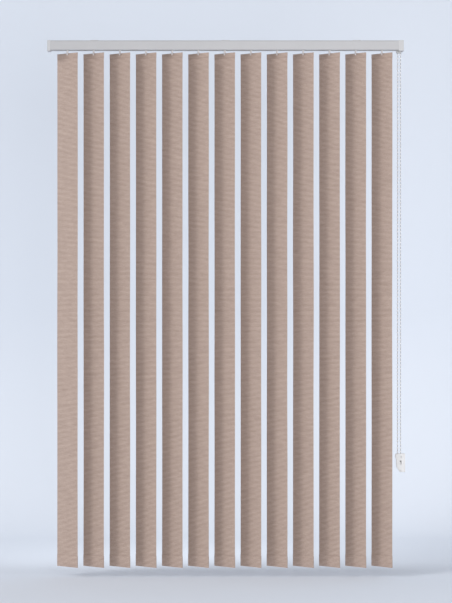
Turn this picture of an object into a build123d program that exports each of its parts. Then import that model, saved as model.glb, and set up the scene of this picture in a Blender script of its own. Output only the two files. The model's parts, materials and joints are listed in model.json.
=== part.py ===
"""Vertical blind: a headrail with fabric louvres, turned by a looped bead chain.

Millimetres and degrees. The origin is the centre of the top face of the middle ceiling bracket.
+X runs along the headrail to the control end, -Y faces the room and +Z is up.
"""

import math
import os

from build123d import *

# Headrail
rail_length = 1060.0
rail_depth = 40.0
rail_height = 27.0
rail_wall = 1.3
rail_drop = 3.0  # from the ceiling to the top of the rail
track_rib_depth = 3.5
track_rib_height = 1.0
corner_radius = 1.0

# Ceiling brackets, and the two lips on the rail that they grip
bracket_length = 24.0
bracket_plate = 1.0
bracket_spread = 400.0  # from the middle bracket to each outer one
bracket_screw_radius = 2.2
bracket_screw_spacing = 12.0
lip_inset = 2.8  # from the rail's face to the lip's edge
lip_width = 3.2
lip_thickness = 0.7
clip_thickness = 0.5
clip_gap = 0.3

# End cap and control housing
end_cap_width = 10.0
control_width = 16.0
cap_lip = 3.0  # how far the caps reach below the rail
cap_top_gap = 0.5
cap_overhang = 0.5  # how far a cap stands proud of the rail, front and back
plug_length = 19.0
plug_clearance = 0.2

# Louvres
louvre_width = 89.0
louvre_length = 1567.5
louvre_pitch = 80.0
louvre_centre = -2.5  # the middle of the row, along X
louvre_gap = 9.0  # from the bottom of the rail to the top of a louvre
end_margin = 5.0  # least room between an end louvre and the end of the rail
rest_angle = 45.5  # turn of the middle louvre from the line of the rail
twist_step = 0.5  # extra turn of each louvre towards the control end, from twist in the rod
fabric = 0.4
hem_height = 37.0
top_pocket_height = 16.0
pocket_clearance = 0.05
seam_height = 1.5
insert_margin = 2.0  # from the end of a pocket's insert to the louvre's edge

# Stiffeners inside the two pockets
hanger_height = 12.0
hanger_thickness = 0.5
weight_height = 31.0
weight_thickness = 1.0

# Louvre hooks
stem_radius = 2.6
pivot_radius = 2.0
pivot_height = 2.0
gear_teeth = 12
gear_tip_radius = 4.8
gear_root_radius = 4.0
gear_height = 5.0
tongue_width = 5.5
tongue_thickness = 0.9
tongue_clearance = 0.05
stem_show = 6.0  # round stem seen below the rail
tongue_overlap = 5.5  # how far a tongue reaches down over the louvre
nib_width = 3.2
nib_height = 2.0
eye_width = 5.0
eye_height = 3.0
eye_drop = 2.2  # from the top of the louvre to the top of its eye

# Tilt rod and worms
rod_radius = 2.5
mesh_gap = 0.3  # between the tips of the gear and the crest of the worm
flute_radius = 0.7
worm_wall = 0.7
worm_thread_depth = 0.6
worm_thread_length = 10.4

# Carriers
stack_pitch = 17.0  # between carriers when they are drawn together
stack_gap = 1.0
carrier_side_gap = 0.7  # to the track ribs
carrier_headroom = 5.7  # to the inside of the rail's top
foot_side_gap = 1.7
foot_thickness = 2.3
foot_gap = 0.2
neck_wall = 1.2
neck_side_gap = 0.6  # in the rail's slot
neck_reach = 1.5  # below the bottom of the rail

# Spacers between carriers
spacer_width = 5.0
spacer_thickness = 0.3
spacer_flat = 4.0
spacer_slope = 0.04
spacer_line = 10.5  # in front of the louvres' axes
spacer_reach = 4.0  # past the near face of the next carrier
guide_height = 4.4
guide_thickness = 0.6

# Control chain
bead_diameter = 4.8
bead_pitch = 11.0
sprocket_pockets = 4
chain_bottom = 1298.5  # from the ceiling to the underside of the loop
chain_inset = 13.0  # from the control's end to the sprocket's axis
chain_gap_top = 7.9
chain_gap_bottom = 9.2
chain_lean = 0.3  # the lower end of the loop stands this much nearer the wall's side
groove_clearance = 0.1

# Sprocket and its bevel gears
sprocket_rim = 0.2  # past the outside of the beads
sprocket_cheek = 1.0  # each side of the beads
bevel_gap = 0.4  # from the wheel's side to the gear's teeth
bevel_clearance = 0.5
pin_radius = 1.5
running = 0.1
side_play = 0.5

# Chain guide under the control
guide_slot_gap = 0.7  # in the rail's slot
guide_spout_length = 15.6
guide_spout_wall = 2.7
strand_play = 0.8
guide_spout_height = 6.0

# Chain tidy on the reveal
reveal_gap = 5.0  # from the control end to the reveal
tidy_top = 1260.5
tidy_height = 56.5
tidy_side_play = 2.5  # between the wheel and each cheek
tidy_wall = 2.0
tidy_head = 30.0  # how far the head stands off the reveal
tidy_skin = 1.4  # wall around the outer strand
tidy_play = 0.3
tidy_toe = 16.2
tidy_plate = 3.0
tidy_pin_radius = 1.0
tidy_wheel_cheek = 0.6  # each side of the beads
tidy_screw_radius = 1.9
tidy_screw_spacing = 20.0

# Worked-out sizes
neck_radius = stem_radius + running + neck_wall
rail_slot = 2 * (neck_radius + neck_side_gap)
rail_bottom = rail_drop + rail_height
inner_half = rail_depth / 2 - rail_wall
track_floor = rail_bottom - rail_wall
lip_outer = rail_depth / 2 - lip_inset
cap_height = rail_bottom + cap_lip
plug_half = inner_half - track_rib_depth - plug_clearance
louvre_drop = rail_bottom + louvre_gap
tongue_top = rail_bottom + stem_show
tongue_gap = hanger_thickness + 2 * (pocket_clearance + fabric + tongue_clearance)
worm_journal_radius = rod_radius + running + worm_wall
worm_crest_radius = worm_journal_radius + worm_thread_depth
rod_offset = gear_tip_radius + mesh_gap + worm_crest_radius  # behind the louvres' axes
rod_drop = rail_drop + rail_height / 2
gear_bottom = rod_drop + gear_height / 2
carrier_length = stack_pitch - stack_gap
carrier_half_depth = inner_half - track_rib_depth - carrier_side_gap
carrier_top = rail_drop + rail_wall + carrier_headroom
foot_spread = inner_half - foot_side_gap
sprocket_pitch_radius = sprocket_pockets * bead_pitch / (2 * math.pi)
sprocket_flange_radius = sprocket_pitch_radius + bead_diameter / 2 + sprocket_rim
sprocket_width = bead_diameter + 2 * sprocket_cheek
split_plane = sprocket_width / 2 + side_play  # where the control housing meets its cover
bevel_outer = rod_offset - sprocket_width / 2 - bevel_gap
bevel_inner = bevel_outer / 2
guide_neck_half = rail_slot / 2 - guide_slot_gap
strand_way = bead_diameter + strand_play
tidy_pitch_radius = chain_gap_bottom / 2
tidy_wheel_width = bead_diameter + 2 * tidy_wheel_cheek
tidy_depth = tidy_wheel_width + 2 * (tidy_side_play + tidy_wall)

# Worked-out places
overall_width = end_cap_width + rail_length + control_width
rail_left = end_cap_width - overall_width / 2
rail_right = rail_left + rail_length
louvre_count = int((rail_length - louvre_width - 2 * end_margin) / louvre_pitch) + 1
chain_centre = overall_width / 2 - chain_inset
chain_straight = cap_height + guide_spout_height / 2  # where the strands begin to hang straight
tidy_wheel_x = chain_centre - chain_lean
tidy_wheel_drop = chain_bottom - bead_diameter / 2 - tidy_pitch_radius
tidy_neck_x = tidy_wheel_x - tidy_pitch_radius - bead_diameter / 2 - tidy_play - tidy_skin
reveal_x = overall_width / 2 + reveal_gap


def block(x, y, z):
    """A box between two values on each axis."""
    size = (x[1] - x[0], y[1] - y[0], z[1] - z[0])
    middle = ((x[0] + x[1]) / 2, (y[0] + y[1]) / 2, (z[0] + z[1]) / 2)
    return Pos(*middle) * Box(*size)


def along_x(radius, x, y, z):
    """A cylinder between two values of X."""
    return Pos((x[0] + x[1]) / 2, y, z) * Rot(0, 90, 0) * Cylinder(radius, x[1] - x[0])


def along_y(radius, x, y, z):
    """A cylinder between two values of Y."""
    return Pos(x, (y[0] + y[1]) / 2, z) * Rot(90, 0, 0) * Cylinder(radius, y[1] - y[0])


def along_z(radius, x, y, z):
    """A cylinder between two values of Z."""
    return Pos(x, y, (z[0] + z[1]) / 2) * Cylinder(radius, z[1] - z[0])


def louvre_x(number):
    """X of a louvre's axis, counted from 1 at the free end."""
    return louvre_centre + (number - (louvre_count + 1) / 2) * louvre_pitch


def louvre_angle(number):
    """Turn of a louvre from the line of the rail at rest."""
    return rest_angle + (number - (louvre_count + 1) / 2) * twist_step


def at_louvre(number, shape):
    """Moves a shape modelled flat along X at the origin to a louvre's axis and turn."""
    return Pos(louvre_x(number), 0, 0) * Rot(0, 0, -louvre_angle(number)) * shape


def make_headrail():
    """The extruded channel, with a track rib on each side and two lips on top."""
    span = (rail_left, rail_right)
    half = rail_depth / 2
    outside = block(span, (-half, half), (-rail_bottom, -rail_drop))
    outside = fillet(outside.edges().filter_by(Axis.X), corner_radius)
    hollow = block(span, (-inner_half, inner_half), (-track_floor, -rail_drop - rail_wall))
    slot = block(span, (-rail_slot / 2, rail_slot / 2), (-rail_bottom - 1, -track_floor + 1))
    rail = outside - hollow - slot
    rib_bottom = -track_floor + foot_gap + foot_thickness + 0.8
    for side in (-1, 1):
        rib_y = sorted((side * inner_half, side * (inner_half - track_rib_depth)))
        rail += block(span, rib_y, (rib_bottom, rib_bottom + track_rib_height))
        stand_y = sorted((side * (lip_outer - lip_width), side * (lip_outer - lip_width + 1)))
        lip_y = sorted((side * (lip_outer - lip_width), side * lip_outer))
        lip_top = -bracket_plate - clip_gap
        rail += block(span, stand_y, (-rail_drop, lip_top))
        rail += block(span, lip_y, (lip_top - lip_thickness, lip_top))
    return rail


def make_bracket(x):
    """A spring clip: a plate on the ceiling whose edges fold under the rail's lips."""
    span = (x - bracket_length / 2, x + bracket_length / 2)
    edge = lip_outer + clip_gap + clip_thickness
    clip_top = -bracket_plate - clip_gap - lip_thickness
    clip = block(span, (-edge, edge), (-bracket_plate, 0))
    for side in (-1, 1):
        wall_y = sorted((side * edge, side * (edge - clip_thickness)))
        tongue_y = sorted((side * edge, side * (lip_outer - lip_width + 1 + clip_gap)))
        clip += block(span, wall_y, (clip_top - clip_thickness, -bracket_plate))
        clip += block(span, tongue_y, (clip_top - clip_thickness, clip_top))
        hole_x = x + side * bracket_screw_spacing / 2
        clip -= along_z(bracket_screw_radius, hole_x, 0, (-bracket_plate - 1, 1))
    return clip


def cap_block(x):
    """The outside of a cap, as tall as the rail and its brackets."""
    half = rail_depth / 2 + cap_overhang
    shape = block(x, (-half, half), (-cap_height, -cap_top_gap))
    return fillet(shape.edges(), corner_radius)


def plug_block(x):
    """The part of a cap that slides into the rail, between its track ribs."""
    top = -rail_drop - rail_wall - plug_clearance
    bottom = -track_floor + plug_clearance
    return block(x, (-plug_half, plug_half), (bottom, top))


def make_end_cap():
    """The moulded cap at the free end, with the bearing for the rod."""
    left = -overall_width / 2
    cap = cap_block((left, rail_left)) + plug_block((rail_left, rail_left + plug_length))
    bearing = (rail_left - end_cap_width / 2, rail_left + plug_length + 1)
    return cap - along_x(rod_radius + running, bearing, rod_offset, -rod_drop)


def control_body():
    """The whole control moulding, before it is split into housing and cover."""
    right = overall_width / 2
    plug_left = rail_right - plug_length
    body = cap_block((rail_right, right)) + plug_block((plug_left, rail_right))
    room = sprocket_flange_radius + 0.9
    wheel_y = (-sprocket_width / 2 - 0.5, split_plane)
    body -= along_y(room, chain_centre, wheel_y, -rod_drop)
    exit_x = (chain_centre - room, chain_centre + room)
    exit_half = guide_neck_half + running
    body -= block(exit_x, (-exit_half, exit_half), (-cap_height - 1, -rod_drop))
    gear_room = bevel_outer + 0.6
    gear_x = (chain_centre - gear_room - 10, chain_centre + gear_room)
    gear_y = (split_plane, rod_offset + gear_room - 0.8)
    body -= block(gear_x, gear_y, (-rod_drop - gear_room, -rod_drop + gear_room))
    body -= along_x(rod_radius + running, (plug_left - 1, gear_x[0] + 1), rod_offset, -rod_drop)
    pin_y = (-pin_reach(), pin_reach())
    return body - along_y(pin_radius, chain_centre, pin_y, -rod_drop)


def pin_reach():
    """Half the length of the sprocket's pin."""
    return plug_half - 1


def make_control_housing():
    """The front shell of the control."""
    far = rail_depth
    keep = block((0, overall_width), (-far, split_plane), (-cap_height - far, far))
    return control_body() & keep


def make_control_cover():
    """The rear shell of the control."""
    far = rail_depth
    keep = block((0, overall_width), (split_plane, far), (-cap_height - far, far))
    return control_body() & keep


def make_chain_guide():
    """The spout that leads the two strands out below the control."""
    room = sprocket_flange_radius + 0.8
    neck_x = (chain_centre - room, chain_centre + room)
    neck_top = -rail_bottom + rail_wall + 0.3
    neck = block(neck_x, (-guide_neck_half, guide_neck_half), (-cap_height, neck_top))
    left = chain_centre - guide_spout_length / 2 - 0.8
    spout_x = (left, left + guide_spout_length)
    half = strand_way / 2 + guide_spout_wall
    spout = block(spout_x, (-half, half), (-cap_height - guide_spout_height, -cap_height))
    spout = fillet(spout.edges().filter_by(Axis.Z), 2.0)
    guide = neck + spout
    top_half = sprocket_pitch_radius + strand_way / 2
    low_half = chain_gap_top / 2 + strand_way / 2
    levels = (neck_top + 1, -cap_height - guide_spout_height - 1)
    funnel = Polyline(
        (chain_centre - top_half, levels[0]),
        (chain_centre + top_half, levels[0]),
        (chain_centre + low_half, -chain_straight - 1),
        (chain_centre + low_half, levels[1]),
        (chain_centre - low_half, levels[1]),
        (chain_centre - low_half, -chain_straight - 1),
        close=True,
    )
    opening = extrude(Plane.XZ * make_face(funnel), strand_way / 2, both=True)
    return guide - opening


def make_sprocket():
    """The bead wheel, moulded in one with its bevel gear."""
    half = sprocket_width / 2
    wheel = along_y(sprocket_flange_radius, 0, (-half, half), 0)
    bead = bead_diameter / 2 + groove_clearance
    ring = Pos(0, 0, 0) * Rot(90, 0, 0) * Torus(sprocket_pitch_radius, bead)
    rim = along_y(sprocket_flange_radius + 1, 0, (-bead, bead), 0)
    rim -= along_y(sprocket_pitch_radius, 0, (-half, half), 0)
    wheel = wheel - ring - rim
    for pocket in range(sprocket_pockets):
        turn = math.radians(45 + 360 * pocket / sprocket_pockets)
        place = (sprocket_pitch_radius * math.cos(turn), 0, sprocket_pitch_radius * math.sin(turn))
        wheel -= Pos(*place) * Sphere(bead + 0.3)
    large = bevel_outer - bevel_clearance
    small = bevel_inner - bevel_clearance
    length = bevel_outer - bevel_inner
    gear = Pos(0, rod_offset - bevel_outer + length / 2, 0) * Rot(-90, 0, 0) * Cone(large, small, length)
    gear += along_y(large, 0, (half, rod_offset - bevel_outer), 0)
    gear -= bevel_notches(Rot(-90, 0, 0), (0, rod_offset - bevel_outer, 0))
    wheel = wheel + gear
    wheel -= along_y(pin_radius + running, 0, (-half - 1, rod_offset), 0)
    return Pos(chain_centre, 0, -rod_drop) * wheel


def bevel_notches(turn, place):
    """The gaps between the teeth of a bevel gear whose large end is at place."""
    teeth = 10
    cone = math.degrees(math.atan(1.0))
    notch = Pos(bevel_outer - bevel_clearance, 0, 0) * Rot(0, -cone, 0) * Box(1.0, 1.1, 3 * bevel_outer)
    return [Pos(*place) * turn * Rot(0, 0, 360 * n / teeth) * notch for n in range(teeth)]


def make_rod_gear():
    """The bevel gear on the control end of the rod."""
    apex = chain_centre
    large = bevel_outer - bevel_clearance
    small = bevel_inner - bevel_clearance
    length = bevel_outer - bevel_inner
    face = Pos(length / 2 - bevel_outer, 0, 0) * Rot(0, 90, 0) * Cone(large, small, length)
    hub = along_x(large - 0.5, (-bevel_outer - 7, -bevel_outer), 0, 0)
    gear = face + hub
    gear -= bevel_notches(Rot(0, 90, 0), (-bevel_outer, 0, 0))
    gear -= along_x(rod_radius + 0.02, (-bevel_outer - 8, -bevel_outer - 1), 0, 0)
    return Pos(apex, rod_offset, -rod_drop) * gear


def make_sprocket_pin():
    """The steel pin that the bead wheel turns on."""
    reach = pin_reach()
    return along_y(pin_radius, chain_centre, (-reach, reach), -rod_drop)


def make_tilt_rod():
    """The fluted rod that runs the length of the rail."""
    left = rail_left - end_cap_width / 2 + 0.5
    right = chain_centre - bevel_outer - 1.2
    section = Circle(rod_radius)
    for flute in range(3):
        turn = math.radians(90 + 120 * flute)
        section -= Pos(rod_radius * math.cos(turn), rod_radius * math.sin(turn)) * Circle(flute_radius)
    start = Plane((left, rod_offset, -rod_drop), x_dir=(0, 1, 0), z_dir=(1, 0, 0))
    return extrude(start * section, right - left)


def make_carrier(number):
    """A carrier with its worm and, on all but the first, the spacer to the one before it."""
    half = carrier_length / 2
    span = (-half, half)
    foot_bottom = -track_floor + foot_gap
    foot_top = foot_bottom + foot_thickness
    body = block(span, (-carrier_half_depth, carrier_half_depth), (foot_top, -carrier_top))
    body += block(span, (-foot_spread, foot_spread), (foot_bottom, foot_top))
    body += along_z(neck_radius, 0, 0, (-rail_bottom - neck_reach, foot_bottom))
    gear_room = gear_tip_radius + 0.4
    body -= along_z(gear_room, 0, 0, (-gear_bottom - running, 0))
    body -= along_z(stem_radius + running, 0, 0, (-rail_bottom - neck_reach - 1, -gear_bottom))
    worm_room = worm_crest_radius + 0.3
    thread = (-worm_thread_length / 2 - 0.2, worm_thread_length / 2 + 0.2)
    body -= along_x(worm_room, thread, rod_offset, -rod_drop)
    body -= block(thread, (rod_offset - worm_room, rod_offset + worm_room), (-rod_drop, 0))
    journal = worm_journal_radius + running
    body -= along_x(journal, (-half - 1, half + 1), rod_offset, -rod_drop)
    body -= block((-half - 1, half + 1), (rod_offset - journal, rod_offset + journal), (-rod_drop, 0))
    guide_gap = spacer_width / 2 + 0.3
    for side in (-1, 1):
        near = -spacer_line + side * guide_gap
        rib = sorted((near, near + side * guide_thickness))
        body += block(span, rib, (-carrier_top, -carrier_top + guide_height))
    worm = along_x(worm_crest_radius, (-worm_thread_length / 2, worm_thread_length / 2), 0, 0)
    worm += along_x(worm_journal_radius, (-half + 0.2, half - 0.2), 0, 0)
    worm -= along_x(rod_radius + running, (-half, half), 0, 0)
    pieces = [body, Pos(0, rod_offset, -rod_drop) * worm]
    if number > 1:
        pieces.append(make_spacer())
    return Compound(children=[Pos(louvre_x(number), 0, 0) * piece for piece in pieces])


def make_spacer():
    """A thin strip that lies flat on its carrier, then rises towards the carrier before it."""
    start = carrier_length / 2 - 1
    bend = start - spacer_flat
    end = -(louvre_pitch - carrier_length / 2 + spacer_reach)
    rise = (bend - end) * spacer_slope
    base = -carrier_top
    side = Polyline(
        (start, base),
        (bend, base),
        (end, base + rise),
        (end, base + rise + spacer_thickness),
        (bend, base + spacer_thickness),
        (start, base + spacer_thickness),
        close=True,
    )
    front = Plane((0, -spacer_line, 0), x_dir=(1, 0, 0), z_dir=(0, -1, 0))
    return extrude(front * make_face(side), spacer_width / 2, both=True)


def make_hook(number):
    """A hook's stem and gear in one moulding, with the louvre's hanger and bottom weight."""
    tooth_height = gear_tip_radius - gear_root_radius
    section = Circle(gear_root_radius)
    for tooth in range(gear_teeth):
        middle = gear_root_radius + tooth_height / 2 - 0.2
        section += Rot(0, 0, 360 * tooth / gear_teeth) * Pos(middle, 0) * Rectangle(tooth_height + 0.4, 1.0)
    stem = Pos(0, 0, -gear_bottom) * extrude(section, gear_height)
    top = -gear_bottom + gear_height
    stem += along_z(pivot_radius, 0, 0, (top, top + pivot_height))
    stem += along_z(stem_radius, 0, 0, (-tongue_top, -gear_bottom))
    inner = tongue_gap / 2
    outer = inner + tongue_thickness
    foot = -louvre_drop - tongue_overlap
    across = (-tongue_width / 2, tongue_width / 2)
    yoke = block(across, (-outer, outer), (-louvre_drop + 0.3, -tongue_top))
    tongues = [block(across, sorted((side * inner, side * outer)), (foot, -louvre_drop + 0.3)) for side in (-1, 1)]
    stem = stem + yoke + tongues[0] + tongues[1]
    ends = stem.edges().filter_by(Axis.Y).group_by(Axis.Z)[0]
    stem = fillet(ends, tongue_width / 2 - 0.3)
    nib_top = -louvre_drop - eye_drop
    stem += block((-nib_width / 2, nib_width / 2), (-inner, inner - running), (nib_top - nib_height, nib_top))
    pieces = [at_louvre(number, piece) for piece in (stem, make_hanger(), make_weight())]
    return Compound(children=pieces)


def eye_block():
    """The opening through a louvre and its hanger for the hook's nib."""
    top = -louvre_drop - eye_drop
    return block((-eye_width / 2, eye_width / 2), (-rail_depth, rail_depth), (top - eye_height, top))


def make_hanger():
    """The flat stiffener in the louvre's top pocket."""
    half = louvre_width / 2 - insert_margin
    top = -louvre_drop - fabric - pocket_clearance
    half_thick = hanger_thickness / 2
    plate = block((-half, half), (-half_thick, half_thick), (top - hanger_height, top))
    plate = fillet(plate.edges().filter_by(Axis.Y), 2.0)
    return plate - eye_block()


def make_weight():
    """The flat weight in the louvre's bottom pocket."""
    half = louvre_width / 2 - insert_margin
    bottom = -louvre_drop - louvre_length + fabric + pocket_clearance
    half_thick = weight_thickness / 2
    plate = block((-half, half), (-half_thick, half_thick), (bottom, bottom + weight_height))
    return fillet(plate.edges().filter_by(Axis.Y), 3.0)


def pocket(z, insert):
    """A flattened tube of fabric between two heights, around an insert of that thickness."""
    half = louvre_width / 2
    room = insert / 2 + pocket_clearance
    outside = block((-half, half), (-room - fabric, room + fabric), z)
    inside = block((-half, half), (-room, room), (z[0] + seam_or_fold(z, 0), z[1] - seam_or_fold(z, 1)))
    outside = fillet(outside.edges().filter_by(Axis.X), fabric / 2)
    return outside - inside


def seam_or_fold(z, end):
    """Thickness of a pocket's closed end: one layer at its fold, a seam where it joins the louvre."""
    at_fold = z[end] in (-louvre_drop, -louvre_drop - louvre_length)
    return fabric if at_fold else seam_height


def make_louvre(number):
    """One length of fabric, folded into a pocket at each end."""
    half = louvre_width / 2
    top = -louvre_drop
    bottom = top - louvre_length
    hem = (bottom, bottom + hem_height)
    head = (top - top_pocket_height, top)
    sheet = block((-half, half), (-fabric / 2, fabric / 2), (hem[1] - 0.5, head[0] + 0.5))
    louvre = sheet + pocket(hem, weight_thickness) + pocket(head, hanger_thickness)
    return at_louvre(number, louvre - eye_block())


def chain_route():
    """The corners of the chain's path in the XZ plane, and the radius of each."""
    high = -rod_drop + sprocket_pitch_radius
    outer = sprocket_pitch_radius
    upper = chain_gap_top / 2
    lower = chain_gap_bottom / 2
    bend_start = -rod_drop - 6.0
    bend_end = -chain_straight
    foot = -chain_bottom + bead_diameter / 2
    left_end = chain_centre - 0.3
    right_end = chain_centre + 0.3
    around = outer - 0.35
    points = [
        (right_end, high),
        (chain_centre + outer, high),
        (chain_centre + outer, bend_start),
        (chain_centre + upper, bend_end),
        (tidy_wheel_x + lower, foot),
        (tidy_wheel_x - lower, foot),
        (chain_centre - upper, bend_end),
        (chain_centre - outer, bend_start),
        (chain_centre - outer, high),
        (left_end, high),
    ]
    soft = 15.0
    radii = [around, soft, 30.0, lower - 0.05, lower - 0.05, 30.0, soft, around]
    return points, radii


def make_control_chain():
    """The bead chain's loop as a plain tube as thick as its beads."""
    points, radii = chain_route()
    path = FilletPolyline(*[(x, 0, z) for x, z in points], radius=radii)
    section = (path ^ 0) * Circle(bead_diameter / 2)
    return sweep(section, path=path)


def tidy_outline():
    """The side profile of the chain tidy, from the reveal outwards."""
    top = -tidy_top
    bottom = top - tidy_height
    head = reveal_x - tidy_head
    neck = tidy_neck_x
    toe = reveal_x - tidy_toe
    corner = 5.0
    line = [
        Line((reveal_x - tidy_plate, bottom), (reveal_x - tidy_plate, top)),
        Line((reveal_x - tidy_plate, top), (head + corner, top)),
        JernArc((head + corner, top), (-1, 0), corner, 90),
        Line((head, top - corner), (head, top - 2.2 * corner)),
        Line((head, top - 2.2 * corner), (neck, top - 3.4 * corner)),
        Line((neck, top - 3.4 * corner), (neck, -tidy_wheel_drop - 2)),
        Spline((neck, -tidy_wheel_drop - 2), (toe, bottom), tangents=((0, -1), (0.55, -1))),
        Line((toe, bottom), (reveal_x - tidy_plate, bottom)),
    ]
    return make_face(line)


def tidy_slab(y):
    """The tidy's profile as a solid between two values of Y."""
    front = Plane((0, y[0], 0), x_dir=(1, 0, 0), z_dir=(0, -1, 0))
    return extrude(front * tidy_outline(), -(y[1] - y[0]))


def make_tidy_body():
    """The plate on the reveal, with the rear cheek and the wheel's seat."""
    half = tidy_depth / 2
    rear = tidy_slab((half - tidy_wall, half))
    bottom = -tidy_top - tidy_height
    plate = block((reveal_x - tidy_plate, reveal_x), (-half, half), (bottom, -tidy_top))
    plate = fillet(plate.edges().filter_by(Axis.X), 2.0)
    body = rear + plate
    for level in tidy_screw_levels():
        body -= along_x(tidy_screw_radius, (reveal_x - tidy_plate - 1, reveal_x + 1), 0, level)
    return body - along_y(tidy_pin_radius, tidy_wheel_x, (-half, half - 0.6), -tidy_wheel_drop)


def tidy_screw_levels():
    """Z of the tidy's two screw holes."""
    upper = -tidy_top - 8.0
    return (upper, upper - tidy_screw_spacing)


def make_tidy_cover():
    """The front cheek, with the wall around the chain's outer strand."""
    half = tidy_depth / 2
    whole = tidy_slab((-half, half - tidy_wall))
    bottom = -tidy_top - tidy_height
    cheek_gap = (-half + tidy_wall, half - tidy_wall + 1)
    inside = tidy_neck_x + tidy_skin
    room = block((inside, reveal_x), cheek_gap, (-tidy_wheel_drop - 3, -tidy_top + 1))
    wheel_room = tidy_pitch_radius + bead_diameter / 2 + 0.6
    room += along_y(wheel_room, tidy_wheel_x, cheek_gap, -tidy_wheel_drop)
    room += block((tidy_wheel_x, reveal_x), cheek_gap, (bottom - 1, -tidy_wheel_drop))
    cover = whole - room
    cover = fillet(cover.faces().sort_by(Axis.Y)[0].outer_wire().edges(), 0.8)
    strand = tidy_wheel_x + tidy_pitch_radius
    window = block((strand - 2.4, strand + 2.4), (-half - 1, -half + tidy_wall + 1), (-tidy_wheel_drop - 2, -tidy_top - 21))
    cover -= window
    cover -= block((strand, strand + 3), (-half - 1, -half + tidy_wall + 1), (-tidy_top - 12, -tidy_top - 8))
    cover -= block((strand - 1, strand + 2), (-half - 1, -half + tidy_wall + 1), (bottom + 3, bottom + 6))
    return cover - along_y(tidy_pin_radius, tidy_wheel_x, (-half + 0.6, half), -tidy_wheel_drop)


def make_tidy_wheel():
    """The grooved wheel that keeps the loop taut."""
    half = tidy_wheel_width / 2
    wheel = along_y(tidy_pitch_radius + 1.8, 0, (-half, half), 0)
    bead = bead_diameter / 2 + groove_clearance
    ring = Rot(90, 0, 0) * Torus(tidy_pitch_radius, bead)
    rim = along_y(tidy_pitch_radius + 3, 0, (-bead, bead), 0)
    rim -= along_y(tidy_pitch_radius, 0, (-half, half), 0)
    wheel = wheel - ring - rim
    wheel -= along_y(tidy_pin_radius + running, 0, (-half - 1, half + 1), 0)
    return Pos(tidy_wheel_x, 0, -tidy_wheel_drop) * wheel


def make_tidy_pin():
    """The pin between the tidy's cheeks."""
    reach = tidy_depth / 2 - 0.6
    return along_y(tidy_pin_radius, tidy_wheel_x, (-reach, reach), -tidy_wheel_drop)


def make_carrier_stop():
    """The clip in the track that holds the last carrier in its place."""
    near = louvre_x(louvre_count) + carrier_length / 2
    bottom = -track_floor
    clip = block((near, near + 5), (-foot_spread, foot_spread), (bottom, bottom + foot_thickness))
    return clip - block((near - 1, near + 6), (-rail_slot / 2, rail_slot / 2), (bottom - 1, bottom + 1))


def make_parts():
    """Every node of the blind by name."""
    parts = {
        "headrail": make_headrail(),
        "bracket_left": make_bracket(-bracket_spread),
        "bracket_centre": make_bracket(0),
        "bracket_right": make_bracket(bracket_spread),
        "end_cap": make_end_cap(),
        "control_housing": make_control_housing(),
        "control_cover": make_control_cover(),
        "chain_guide": make_chain_guide(),
        "sprocket": make_sprocket(),
        "sprocket_pin": make_sprocket_pin(),
        "tilt_rod": make_tilt_rod(),
        "rod_gear": make_rod_gear(),
        "carrier_stop": make_carrier_stop(),
        "control_chain": make_control_chain(),
        "tidy_body": make_tidy_body(),
        "tidy_cover": make_tidy_cover(),
        "tidy_wheel": make_tidy_wheel(),
        "tidy_pin": make_tidy_pin(),
    }
    for number in range(1, louvre_count + 1):
        parts[f"carrier_{number:02d}"] = make_carrier(number)
        parts[f"hook_{number:02d}"] = make_hook(number)
        parts[f"louvre_{number:02d}"] = make_louvre(number)
    return parts


os.makedirs("parts", exist_ok=True)
for name, shape in make_parts().items():
    export_step(shape, f"parts/{name}.step")
print("chain tube radii", [round(radius, 2) for radius in chain_route()[1]])
print("louvres", louvre_count)
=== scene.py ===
"""Vertical blind: cloth louvres, bead chain, worm threads, finishes and a plain stage.

Metres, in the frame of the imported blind: +X runs to the control end, -Y faces the room, +Z is up.
"""

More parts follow.
